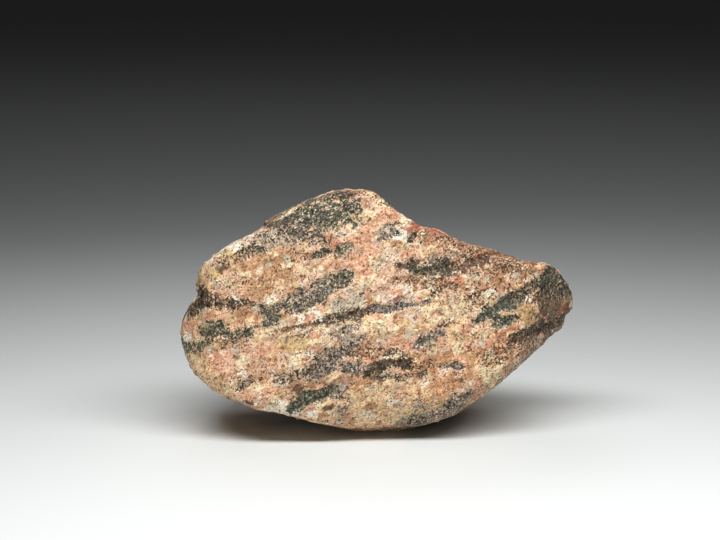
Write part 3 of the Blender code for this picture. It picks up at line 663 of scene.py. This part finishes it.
@dataclass(frozen=True)
class GneissFinish:
    """Coarse broken gneiss: specks and cleavage facets in every grain, and dark mica in the bands.

    The tints are read by a grain's or a speck's own random number. Each multiplies the mineral's colour.
    """

    speck: float = 0.36 * MM
    fleck: float = 1.0 * MM
    stretch: tuple[float, float, float] = (1.12, 1.1, 1.0)
    wander: float = 0.60 * MM
    wander_size: float = 1.6 * MM
    noise_detail: float = 2.0
    speck_tilt: float = 0.34
    fleck_tilt: float = 0.26
    grit_size: float = 0.35 * MM
    grit_height: float = 0.04 * MM
    roughness: tuple[float, float] = (0.45, 0.30)
    chalk: tuple[float, float, float] = (0.90, 0.88, 0.85)
    # The top stops whiten and blue the brightest specks as painted glints; the rest are the grains' random
    # tints.
    pale_tints_and_painted_glints: tuple[tuple[float, float, float, float], ...] = (
        (0.0, 0.14, 0.13, 0.11),
        (0.10, 0.30, 0.26, 0.20),
        (0.22, 0.64, 0.53, 0.40),
        (0.36, 0.90, 0.82, 0.72),
        (0.52, 1.0, 0.98, 0.94),
        (0.68, 1.10, 1.12, 1.13),
        (0.84, 1.28, 1.39, 1.44),
        (1.0, 1.65, 1.92, 2.10),
    )
    dark_tints: tuple[tuple[float, float, float, float], ...] = (
        (0.0, 0.03, 0.03, 0.03),
        (0.20, 0.12, 0.13, 0.12),
        (0.40, 0.45, 0.46, 0.43),
        (0.60, 1.10, 1.08, 1.0),
        (0.80, 2.20, 2.10, 1.90),
        (1.0, 5.4, 5.1, 4.6),
    )
    speck_share: float = 0.72
    mica_edge: float = 0.08
    mica_share: float = 0.93

    def material(self, banding: Banding) -> bpy.types.Material:
        """Builds the stone's material.

        Args:
            banding: The banding that the specks are drawn out along.

        Returns:
            The material.
        """
        graph = Graph("coarse_gneiss")
        place = self.place(graph, banding)
        specks = graph.add("TexVoronoi", place, None, 1.0 / self.speck)
        flecks = graph.add("TexVoronoi", place, None, 1.0 / self.fleck)
        speck = graph.add("SeparateColor", specks.outputs["Color"]).outputs
        fleck = graph.add("SeparateColor", flecks.outputs["Color"]).outputs

        pale_draw = self.mixed(graph, speck["Red"], fleck["Red"])
        dark_draw = self.mixed(graph, speck["Green"], fleck["Green"])
        pale = self.tinted(graph, "grain_colour", self.pale_tints_and_painted_glints, pale_draw)
        dark = self.tinted(graph, "mica_colour", self.dark_tints, dark_draw)
        mask = self.mica_mask(graph, speck, fleck)
        shader = graph.add("BsdfPrincipled", graph.add("MixRGB", mask, pale, dark).outputs[0])

        least, more = self.roughness
        graph.feed(shader.inputs["Roughness"], graph.maths("MULTIPLY_ADD", speck["Green"], more, least))
        bump = graph.add("Bump")
        graph.feed(bump.inputs["Distance"], 1.0)
        graph.feed(bump.inputs["Height"], self.relief(graph, place, specks, flecks))
        graph.feed(shader.inputs["Normal"], bump.outputs[0])
        graph.add("OutputMaterial", shader.outputs[0])
        return graph.material

    def place(self, graph: Graph, banding: Banding) -> bpy.types.NodeSocket:
        """Where a point reads the specks: in the frame of the bands, drawn out along them and wandering.

        Args:
            graph: The node tree.
            banding: The banding.

        Returns:
            The place.
        """
        coordinates = graph.add("TexCoord").outputs["Object"]
        turned = graph.add("Mapping", coordinates, vector_type="TEXTURE")
        turned.inputs["Rotation"].default_value = banding.matrix().to_euler()
        turned.inputs["Scale"].default_value = self.stretch
        place = turned.outputs[0]
        wander = graph.add("TexNoise", place, None, 1.0 / self.wander_size, self.noise_detail)
        shift = graph.scaled(graph.centred(wander.outputs["Color"]), self.wander)
        return graph.vectors("ADD", place, shift)

    def mixed(
        self, graph: Graph, speck: bpy.types.NodeSocket, fleck: bpy.types.NodeSocket
    ) -> bpy.types.NodeSocket:
        """One random number from a speck's and that of the fleck it lies in."""
        rest = graph.maths("MULTIPLY", fleck, 1.0 - self.speck_share)
        return graph.maths("MULTIPLY_ADD", speck, self.speck_share, rest)

    def tinted(
        self,
        graph: Graph,
        attribute: str,
        stops: tuple[tuple[float, float, float, float], ...],
        draw: bpy.types.NodeSocket,
    ) -> bpy.types.NodeSocket:
        """The colour that an attribute holds, tinted by a random number.

        Args:
            graph: The node tree.
            attribute: Name of the mesh's colour attribute.
            stops: The tints.
            draw: The random number.

        Returns:
            The colour, no brighter than chalk.
        """
        colour = graph.add("Attribute", attribute_name=attribute).outputs["Color"]
        product = graph.vectors("MULTIPLY", colour, graph.tints(draw, stops))
        return graph.vectors("MINIMUM", product, self.chalk)

    def mica_mask(
        self, graph: Graph, speck: bpy.types.NodeSocket, fleck: bpy.types.NodeSocket
    ) -> bpy.types.NodeSocket:
        """Where the stone is mica and not feldspar: as often as the mesh's amount of mica says.

        Args:
            graph: The node tree.
            speck: The random numbers of a speck.
            fleck: The random numbers of the fleck it lies in.

        Returns:
            From 0 for feldspar to 1 for mica.
        """
        amount = graph.add("Attribute", attribute_name="mica").outputs["Fac"]
        draw = self.mixed(graph, speck["Blue"], fleck["Blue"])
        level = graph.maths("SUBTRACT", graph.maths("MULTIPLY", amount, self.mica_share), draw)
        return graph.add("MapRange", level, -self.mica_edge, self.mica_edge, 0.0, 1.0).outputs[0]

    def relief(
        self,
        graph: Graph,
        place: bpy.types.NodeSocket,
        specks: bpy.types.Node,
        flecks: bpy.types.Node,
    ) -> bpy.types.NodeSocket:
        """Height of the cleavage facets and the grit on them.

        Args:
            graph: The node tree.
            place: Where the cells are read.
            specks: The small cells.
            flecks: The large cells.

        Returns:
            The height in metres.
        """
        grit = graph.add("TexNoise", place, None, 1.0 / self.grit_size, self.noise_detail).outputs[0]
        height = graph.maths("MULTIPLY", grit, self.grit_height)
        for cells, tilt in ((specks, self.speck_tilt), (flecks, self.fleck_tilt)):
            away = graph.vectors("SUBTRACT", place, cells.outputs["Position"])
            lean = graph.centred(cells.outputs["Color"])
            slope = graph.add("VectorMath", away, lean, operation="DOT_PRODUCT").outputs["Value"]
            height = graph.maths("MULTIPLY_ADD", slope, tilt, height)
        return height


@dataclass(frozen=True)
class PlainFinish:
    """One even colour, for the floor."""

    name: str
    colour: tuple[float, float, float]
    roughness: float

    def material(self) -> bpy.types.Material:
        """Builds the material.

        Returns:
            The material.
        """
        graph = Graph(self.name)
        shader = graph.add("BsdfPrincipled", with_alpha(self.colour))
        shader.inputs["Roughness"].default_value = self.roughness
        graph.add("OutputMaterial", shader.outputs[0])
        return graph.material


@dataclass(frozen=True)
class Laying:
    """The stone as it is seen from its sides, so that marks can be laid on it."""

    sight: Sight
    piece: bpy.types.Object
    far: float = 300.0 * MM

    def unit(self, side: Side) -> float:
        """The length on the stone that one unit of a side's places stands for."""
        return self.sight.step() if side is Side.FRONT else MM

    def point(self, side: Side, name: str, across: float, along: float) -> np.ndarray:
        """Carries a place on one side onto the stone's surface.

        Args:
            side: The side that the place is on.
            name: Name of the mark that is laid there.
            across: Steps from the picture's left edge, or millimetres along the side.
            along: Steps from the picture's top edge, or millimetres up the side or inward.

        Returns:
            The point on the surface.
        """
        a, b, far = across * MM, along * MM, self.far
        casts = {
            Side.FRONT: (self.sight.eye(), self.sight.ray(across, along)),
            Side.BACK: (Vector((a, far, b)), Vector((0.0, -1.0, 0.0))),
            Side.TOP: (Vector((a, b, far)), Vector((0.0, 0.0, -1.0))),
            Side.LEFT: (Vector((-far, a, b)), Vector((1.0, 0.0, 0.0))),
            Side.RIGHT: (Vector((far, a, b)), Vector((-1.0, 0.0, 0.0))),
            Side.BELOW: (Vector((a, b, -far)), Vector((0.0, 0.0, 1.0))),
        }
        origin, direction = casts[side]
        hit, place, _normal, _index = self.piece.ray_cast(origin, direction)
        if not hit:
            log.debug("%s: a place just past the stone's edge is moved onto it", name)
            nearest = origin + direction * direction.dot(self.sight.aim() - origin)
            _found, place, _normal, _index = self.piece.closest_point_on_mesh(nearest)
        return np.array(place)


@dataclass(frozen=True)
class MicaBands:
    """The stone's mica: how much there is at each point, and its colour."""

    banding: Banding
    waviness: float = 0.90 * MM
    wave_length: float = 7.0 * MM
    edge: tuple[float, float] = (1.3, 1.8)
    ragged: float = 0.6
    ragged_size: float = 2.0 * MM
    stretch: tuple[float, float, float] = (1.8, 1.8, 1.0)
    fractal: tuple[float, float, int] = (0.8, 2.0, 3)
    fractal_height: float = 1.6
    stray: float = 0.45
    stray_least: float = 0.25
    stray_size: float = 2.6 * MM
    own_colour: float = 40.0
    shortest_run: float = 1e-12

    def at(self, laying: Laying, points: np.ndarray) -> tuple[np.ndarray, np.ndarray]:
        """How much mica there is at each point, and its colour.

        Args:
            laying: The stone that the bands are laid on.
            points: The points.

        Returns:
            One amount from 0 to 1 a point, and one colour a row.
        """
        spots = self.banding.parts(points)
        spots[:, 2] += self.waves(points)
        ragged = self.rough_noise(points, self.ragged_size) * self.ragged
        stray = self.rough_noise(points, self.stray_size) - self.stray_least
        amount = np.clip(stray, 0.0, 1.0) * self.stray
        colours = np.tile(np.array(Mica.BIOTITE.value), (len(points), 1))
        weights = np.ones(len(points))
        for side, bands in BANDS.items():
            for band in bands:
                here = self.band_strength(laying, side, band, spots, ragged)
                amount = np.maximum(amount, here)
                colours += here[:, None] * self.own_colour * np.array(band.mica.value)
                weights += here * self.own_colour
        return amount, colours / weights[:, None]

    def waves(self, points: np.ndarray) -> np.ndarray:
        """How far the banding wanders up or down at each point."""
        scale = 1.0 / self.wave_length
        return np.array([noise.noise(Vector(p) * scale) for p in points]) * self.waviness

    def rough_noise(self, points: np.ndarray, size: float) -> np.ndarray:
        """Noise at each point, drawn out along the bands, mostly from minus one to one.

        Args:
            points: Places in the stone's own frame.
            size: Length of its waves square to the bands.

        Returns:
            One number a point.
        """
        scaled = self.banding.parts(points) / size / np.array(self.stretch)
        return np.array([noise.fractal(Vector(p), *self.fractal) for p in scaled]) * self.fractal_height

    def band_strength(
        self, laying: Laying, side: Side, band: MicaBand, spots: np.ndarray, ragged: np.ndarray
    ) -> np.ndarray:
        """How strongly one band is felt at each place.

        Args:
            laying: The stone that the band is laid on.
            side: The side that it is laid on.
            band: The band.
            spots: Places in the frame of the bands.
            ragged: How far the edge comes in at each place, in half widths.

        Returns:
            From 0 to the band's strength, for each place.
        """
        knots = [laying.point(side, band.name, across, along) for across, along, _half in band.line]
        knots = self.banding.parts(np.array(knots))
        halves = [half for _across, _along, half in band.line]
        best = np.zeros(len(spots))
        for start, end, first, last in zip(knots, knots[1:], halves, halves[1:]):
            run = (end - start)[[0, 2]]
            away = spots[:, [0, 2]] - start[[0, 2]]
            share = np.clip(away @ run / max(run @ run, self.shortest_run), 0.0, 1.0)
            miss = np.linalg.norm(away - share[:, None] * run, axis=1)
            half = (first + (last - first) * share) * laying.unit(side)
            depth = np.abs(spots[:, 1] - start[1] - share * (end - start)[1]) / band.reach
            edge = np.clip((self.edge[1] - miss / half - ragged) / self.edge[0], 0.0, 1.0)
            best = np.maximum(best, edge * edge * (3.0 - 2.0 * edge) * faded(depth))
        return best * band.strength


@dataclass(frozen=True)
class Grains:
    """The stone's mineral grains: where they lie, what each is, and the relief they give."""

    banding: Banding
    mix: GrainMix
    size: tuple[float, float, float] = (2.5 * MM, 2.3 * MM, 1.8 * MM)
    margin: float = 4.0 * MM
    seed: int = 11
    tilt: float = 0.13
    step: float = 0.22 * MM
    gap: float = 0.07 * MM
    gap_width: float = 0.40 * MM
    mica_depth: float = 0.22 * MM
    mica_calm: float = 0.5
    grit: float = 0.10 * MM
    grit_size: float = 1.3 * MM
    grit_fractal: tuple[float, float, int] = (1.0, 2.0, 3)
    jitter: float = 0.9 * MM
    jitter_size: float = 1.1 * MM
    patch_edge: float = 0.55
    clouding: float = 0.75
    muting: float = 0.11
    light_shares: tuple[float, float, float] = (0.21, 0.72, 0.07)
    shades: tuple[float, float] = (0.80, 0.28)
    brightest: float = 0.9

    def middles(self, low: np.ndarray, high: np.ndarray) -> np.ndarray:
        """The grains' middles, scattered about a grid in the frame of the bands.

        Args:
            low: Lowest corner to fill, in that frame.
            high: Highest corner.

        Returns:
            One middle a row.
        """
        rows = [np.arange(a - self.margin, b + self.margin, s) for a, b, s in zip(low, high, self.size)]
        grid = np.stack(np.meshgrid(*rows, indexing="ij"), -1).reshape(-1, 3)
        rng = np.random.default_rng(self.seed)
        return grid + (rng.random(grid.shape) - 0.5) * np.array(self.size)

    def at(
        self, laying: Laying, points: np.ndarray, mica: np.ndarray
    ) -> tuple[np.ndarray, np.ndarray]:
        """The colour of the grain at each point, and the height of the relief there.

        Args:
            laying: The stone that the patches are laid on.
            points: The points.
            mica: How much mica there is at each.

        Returns:
            One colour a row, and one height a point.
        """
        spots = self.banding.parts(points)
        middles = self.middles(spots.min(0), spots.max(0))
        squeeze = 1.0 / np.array(self.size)
        tree = kdtree.KDTree(len(middles))
        for index, middle in enumerate(middles * squeeze):
            tree.insert(middle, index)
        tree.balance()
        rng = np.random.default_rng(self.seed + 1)
        draws = rng.random((len(middles), 4))
        leans = rng.normal(size=(len(middles), 3))

        found = [tree.find_n(spot, 2) for spot in spots * squeeze]
        nearest = np.array([pair[0][1] for pair in found])
        gaps = np.array([pair[1][2] - pair[0][2] for pair in found]) * self.size[2]
        steps = (draws[nearest, 2] - 0.5) * self.step
        tilts = np.einsum("ij,ij->i", spots - middles[nearest], leans[nearest]) * self.tilt
        heights = self.heights(steps + tilts, gaps, mica) + self.grit_at(points)

        # Without a seed, the vector noise is shifted by the clock.
        noise.seed_set(self.seed)
        strayed = np.array([noise.noise_vector(Vector(p) / self.jitter_size) for p in points])
        coloured = [tree.find(spot)[1] for spot in (spots + strayed * self.jitter) * squeeze]
        clouded = np.clip(mica * self.clouding, 0.0, 1.0)[:, None]
        pale = self.minerals(laying, middles, draws)[coloured]
        return pale * (1.0 - clouded) + np.array(Mineral.CLOUD.value) * clouded, heights

    def heights(self, facets: np.ndarray, gaps: np.ndarray, mica: np.ndarray) -> np.ndarray:
        """The relief of the grains: facets, the gaps between them, and mica that lies lower and calmer.

        Args:
            facets: Height of the grain's own facet at each point.
            gaps: How far each point is from the next grain.
            mica: How much mica there is at each.

        Returns:
            One height a point.
        """
        edge = np.clip(gaps / self.gap_width, 0.0, 1.0)
        heights = facets * edge - (1.0 - edge) * self.gap
        return heights * (1.0 - self.mica_calm * mica) - mica * self.mica_depth

    def grit_at(self, points: np.ndarray) -> np.ndarray:
        """The height of the fine grit at each point."""
        scale = 1.0 / self.grit_size
        return np.array([noise.fractal(Vector(p) * scale, *self.grit_fractal) for p in points]) * self.grit

    def minerals(self, laying: Laying, middles: np.ndarray, draws: np.ndarray) -> np.ndarray:
        """Chooses each grain's mineral, from the patches first and the mix otherwise.

        Args:
            laying: The stone that the patches are laid on.
            middles: The grains' middles in the frame of the bands.
            draws: Four random numbers a grain.

        Returns:
            One colour a row.
        """
        places = middles @ np.array(self.banding.matrix()).T
        colours = self.mix.colours(draws[:, 0])
        strongest = np.zeros(len(middles))
        for side, patches in PATCHES.items():
            for patch in patches:
                here = self.patch_strength(laying, side, patch, places)
                taken = (here > strongest) & (draws[:, 1] < here * patch.share)
                colours[taken] = patch.mineral.value
                strongest = np.where(taken, here, strongest)
        least, more = self.shades
        greys = colours @ np.array(self.light_shares)[:, None]
        muted = colours + (greys - colours) * self.muting
        return np.clip(muted * (least + more * draws[:, 3:4]), 0.0, self.brightest)

    def patch_strength(
        self, laying: Laying, side: Side, patch: GrainPatch, places: np.ndarray
    ) -> np.ndarray:
        """How strongly one patch is felt at each place.

        Args:
            laying: The stone that the patch is laid on.
            side: The side that it is laid on.
            patch: The patch.
            places: Places in the stone's own frame.

        Returns:
            From 0 to 1, for each place.
        """
        away = places - laying.point(side, patch.name, *patch.middle)
        upward = away @ np.array(laying.sight.upward())
        inward = away @ np.array(laying.sight.inward())
        turn = math.radians(patch.rise)
        length, width = (half * laying.unit(side) for half in patch.half)
        along = (away[:, 0] * math.cos(turn) + upward * math.sin(turn)) / length
        square = (upward * math.cos(turn) - away[:, 0] * math.sin(turn)) / width
        radius = np.hypot(along, square)
        edge = np.clip((1.0 + self.patch_edge - radius) / (2.0 * self.patch_edge), 0.0, 1.0)
        return edge * faded(inward / patch.reach)


@dataclass(frozen=True)
class Stone:
    """The stone itself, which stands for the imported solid."""

    sight: Sight
    banding: Banding
    mica: MicaBands
    grains: Grains
    finish: GneissFinish
    name: str = "gneiss_stone"
    merge: float = 0.002 * MM
    voxel: float = 0.53 * MM
    smoothing: float = 0.5
    smoothing_passes: int = 6
    unfold_angle: float = math.radians(66.0)
    unfold_margin: float = 0.002
    relief: float = 1.2 * MM

    def build(self) -> bpy.types.Object:
        """Makes the stone and dresses it.

        Returns:
            The finished piece, riding on the body and standing for its solid.
        """
        piece = self.copy_of_solid()
        self.refine(piece)
        self.unfold(piece)
        laying = Laying(self.sight, piece)
        points = places_of(piece)
        mica, mica_colours = self.mica.at(laying, points)
        grain_colours, heights = self.grains.at(laying, points, mica)
        self.lay_attribute(piece, "mica", "FLOAT", "value", mica)
        self.lay_colours(piece, "grain_colour", grain_colours)
        self.lay_colours(piece, "mica_colour", mica_colours)
        self.raise_relief(piece, heights)
        self.keep_in_box(piece)
        piece.data.materials.clear()
        piece.data.materials.append(self.finish.material(self.banding))
        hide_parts(NODE)
        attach(piece, BODY)
        return piece

    def copy_of_solid(self) -> bpy.types.Object:
        """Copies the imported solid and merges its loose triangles.

        Returns:
            The copy.
        """
        piece = bpy.data.objects.new(self.name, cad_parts[NODE].data.copy())
        bpy.context.scene.collection.objects.link(piece)
        take_up(piece)
        bpy.ops.object.mode_set(mode="EDIT")
        bpy.ops.mesh.select_all(action="SELECT")
        bpy.ops.mesh.remove_doubles(threshold=self.merge)
        bpy.ops.object.mode_set(mode="OBJECT")
        return piece

    def refine(self, piece: bpy.types.Object) -> None:
        """Remeshes the stone finely and relaxes it.

        Args:
            piece: The stone.
        """
        remesh = piece.modifiers.new("remesh", "REMESH")
        remesh.mode = "VOXEL"
        remesh.voxel_size = self.voxel
        smooth = piece.modifiers.new("smooth", "SMOOTH")
        smooth.factor = self.smoothing
        smooth.iterations = self.smoothing_passes
        for modifier in (remesh, smooth):
            bpy.ops.object.modifier_apply(modifier=modifier.name)
        bpy.ops.object.shade_smooth()

    def unfold(self, piece: bpy.types.Object) -> None:
        """Unfolds the stone while it is still smooth, so that its surface lies flat in a few large sheets.

        Args:
            piece: The stone.
        """
        while piece.data.uv_layers:
            piece.data.uv_layers.remove(piece.data.uv_layers[0])
        piece.data.uv_layers.new(name="OFBake")
        bpy.ops.object.mode_set(mode="EDIT")
        bpy.ops.mesh.select_all(action="SELECT")
        bpy.ops.uv.smart_project(angle_limit=self.unfold_angle, island_margin=self.unfold_margin)
        bpy.ops.object.mode_set(mode="OBJECT")

    def lay_attribute(
        self, piece: bpy.types.Object, name: str, kind: str, field: str, values: np.ndarray
    ) -> None:
        """Writes one value or colour for each vertex into the mesh."""
        layer = piece.data.attributes.new(name, kind, "POINT")
        layer.data.foreach_set(field, values.astype(np.float32).ravel())

    def lay_colours(self, piece: bpy.types.Object, name: str, colours: np.ndarray) -> None:
        """Writes one colour for each vertex into the mesh."""
        rows = np.array([with_alpha(colour) for colour in colours])
        self.lay_attribute(piece, name, "FLOAT_COLOR", "color", rows)

    def raise_relief(self, piece: bpy.types.Object, heights: np.ndarray) -> None:
        """Moves the surface in and out, through a vertex group and two Displace modifiers.

        Args:
            piece: The stone.
            heights: How far out each vertex goes.
        """
        group = piece.vertex_groups.new(name="relief")
        shares = np.clip(heights / self.relief + 0.5, 0.0, 1.0)
        for index, share in enumerate(shares.tolist()):
            group.add((index,), share, "REPLACE")
        take_up(piece)
        moves = (("raise", self.relief, group.name), ("settle", -self.relief / 2, ""))
        for name, strength, weights in moves:
            displace = piece.modifiers.new(name, "DISPLACE")
            displace.strength = strength
            displace.mid_level = 0.0
            displace.vertex_group = weights
            bpy.ops.object.modifier_apply(modifier=name)
        piece.vertex_groups.clear()

    def keep_in_box(self, piece: bpy.types.Object) -> None:
        """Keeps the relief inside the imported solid's box, which also keeps the resting spot flat.

        Args:
            piece: The stone.
        """
        low, high = (np.array(corner) for corner in SOLID_BOX)
        held = np.clip(places_of(piece), low, high)
        piece.data.vertices.foreach_set("co", held.astype(np.float32).ravel())
        piece.data.update()


def faded(depth: np.ndarray) -> np.ndarray:
    """How much of a mark is left at a depth, in reaches: nearly all up to a half, and nothing past two."""
    return np.exp(-(depth**4))


def with_alpha(colour: tuple[float, float, float]) -> tuple[float, float, float, float]:
    """A colour with a fourth value of one."""
    return (*colour, 1.0)


def places_of(piece: bpy.types.Object) -> np.ndarray:
    """The places of a piece's vertices.

    Args:
        piece: The piece.

    Returns:
        One place a row.
    """
    flat = np.zeros(len(piece.data.vertices) * 3, np.float32)
    piece.data.vertices.foreach_get("co", flat)
    return flat.reshape(-1, 3).astype(float)


def take_up(piece: bpy.types.Object) -> None:
    """Makes the piece the only selected object and the active one.

    Args:
        piece: The piece.
    """
    bpy.ops.object.select_all(action="DESELECT")
    piece.select_set(True)
    bpy.context.view_layer.objects.active = piece


@dataclass(frozen=True)
class Floor:
    """A plain pale floor, wide enough to fill the picture from any side."""

    size: float = 12.0
    drop: float = 0.02 * MM
    finish: PlainFinish = PlainFinish("pale_floor", (0.655, 0.672, 0.665), 0.6)

    def build(self) -> bpy.types.Object:
        """Lays the floor under the stone.

        Returns:
            The floor.
        """
        bpy.ops.object.select_all(action="DESELECT")
        bpy.ops.mesh.primitive_plane_add(size=self.size, location=(0.0, 0.0, -self.drop))
        floor = bpy.context.object
        floor.name = "floor"
        bpy.ops.object.transform_apply(location=True)
        floor.data.materials.append(self.finish.material())
        return floor


@dataclass(frozen=True)
class SoftBox:
    """A soft rectangular lamp."""

    name: str
    place: tuple[float, float, float]
    target: tuple[float, float, float]
    size: tuple[float, float]
    power: float
    spread: float = math.radians(180.0)

    def build(self) -> bpy.types.Object:
        """Hangs the lamp and points it at its target.

        Returns:
            The lamp.
        """
        lamp = bpy.data.lights.new(self.name, "AREA")
        lamp.shape = "RECTANGLE"
        lamp.size, lamp.size_y = self.size
        lamp.energy = self.power
        lamp.spread = self.spread
        holder = bpy.data.objects.new(self.name, lamp)
        holder.location = self.place
        toward = Vector(self.target) - Vector(self.place)
        holder.rotation_euler = toward.to_track_quat("-Z", "Y").to_euler()
        holder.visible_camera = False
        bpy.context.scene.collection.objects.link(holder)
        return holder


@dataclass(frozen=True)
class Studio:
    """The lamps, the dim room round them and the camera."""

    sight: Sight
    room: float = 0.02
    contrast: str = "Medium High Contrast"
    nearest: float = 0.01
    farthest: float = 50.0
    lamps: tuple[SoftBox, ...] = (
        SoftBox("overhead", (0.055, -0.15, 0.315), (0.055, -0.13, 0.0), (0.52, 0.11), 1.82),
        SoftBox(
            "behind", (-0.10, 0.28, 0.32), (0.0, 0.0, 0.03), (0.34, 0.22), 0.07, math.radians(80.0)
        ),
        SoftBox("front", (-0.28, -0.56, 0.09), (0.0, 0.0, 0.03), (0.40, 0.12), 0.46),
        SoftBox("backdrop", (0.05, 0.60, 0.50), (0.02, 0.40, 0.0), (0.90, 0.40), 0.145),
    )

    def build(self) -> None:
        """Lights the room, hangs the lamps and sets up the camera."""
        scene = bpy.context.scene
        world = bpy.data.worlds.new("room")
        world.use_nodes = True
        backdrop = world.node_tree.nodes["Background"]
        backdrop.inputs["Color"].default_value = with_alpha((self.room, self.room, self.room))
        scene.world = world
        for lamp in self.lamps:
            lamp.build()
        scene.view_settings.view_transform = "Standard"
        scene.view_settings.look = self.contrast
        scene.camera = self.camera()

    def camera(self) -> bpy.types.Object:
        """Sets up the camera on the line of sight.

        Returns:
            The camera.
        """
        lens = bpy.data.cameras.new("camera")
        lens.lens = self.sight.lens
        lens.sensor_width = self.sight.sensor
        lens.clip_start = self.nearest
        lens.clip_end = self.farthest
        camera = bpy.data.objects.new("camera", lens)
        camera.location = self.sight.eye()
        camera.rotation_euler = self.sight.inward().to_track_quat("-Z", "Y").to_euler()
        bpy.context.scene.collection.objects.link(camera)
        return camera


def main() -> None:
    """Builds the stone, the floor and the studio, and reports each."""
    logging.basicConfig(level=logging.INFO, format="%(message)s")
    sight = Sight()
    banding = Banding()
    grains = Grains(banding, GrainMix())
    stone = Stone(sight, banding, MicaBands(banding), grains, GneissFinish()).build()
    log.info("stone: %d vertices, %d faces", len(stone.data.vertices), len(stone.data.polygons))
    floor = Floor().build()
    log.info("floor: %s", floor.name)
    studio = Studio(sight)
    studio.build()
    log.info("studio: %d lamps", len(studio.lamps))


if __name__ == "__main__":
    main()
